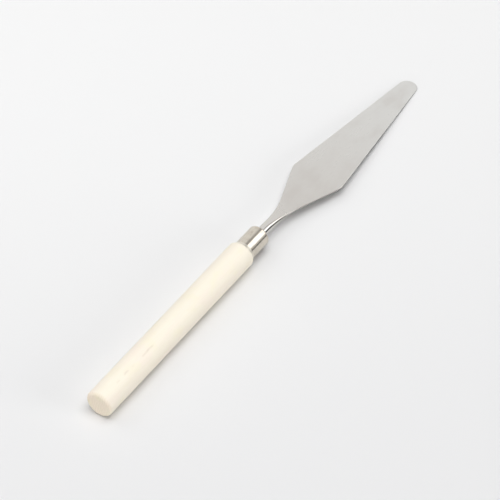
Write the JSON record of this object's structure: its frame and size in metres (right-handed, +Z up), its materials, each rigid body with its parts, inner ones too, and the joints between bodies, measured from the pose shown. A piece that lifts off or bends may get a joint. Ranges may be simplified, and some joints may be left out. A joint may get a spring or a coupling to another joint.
{
  "type": "palette knife",
  "caption": "Palette knife with a round wooden handle, a plated ferrule and a long diamond-shaped spring-steel blade that turns slightly down to a rounded tip.",
  "frame": {"origin": "on the surface that the knife lies on, below the middle of its overall box", "axes": "+X along the knife from the butt to the tip, +Y across the blade, +Z up from the surface it lies on"},
  "size_m": [0.247, 0.0258, 0.013],
  "materials": {
    "raw_wood": "fine-sanded pale wood, unvarnished",
    "nickel_plate": "bright nickel plate",
    "satin_steel": "satin-ground faces, polished neck",
    "cured_resin": "amber, clear-set"
  },
  "bodies": {
    "root": {"handle": "raw_wood", "ferrule": "nickel_plate", "blade": "satin_steel", "tang_resin": "cured_resin"}
  },
  "joints": []
}
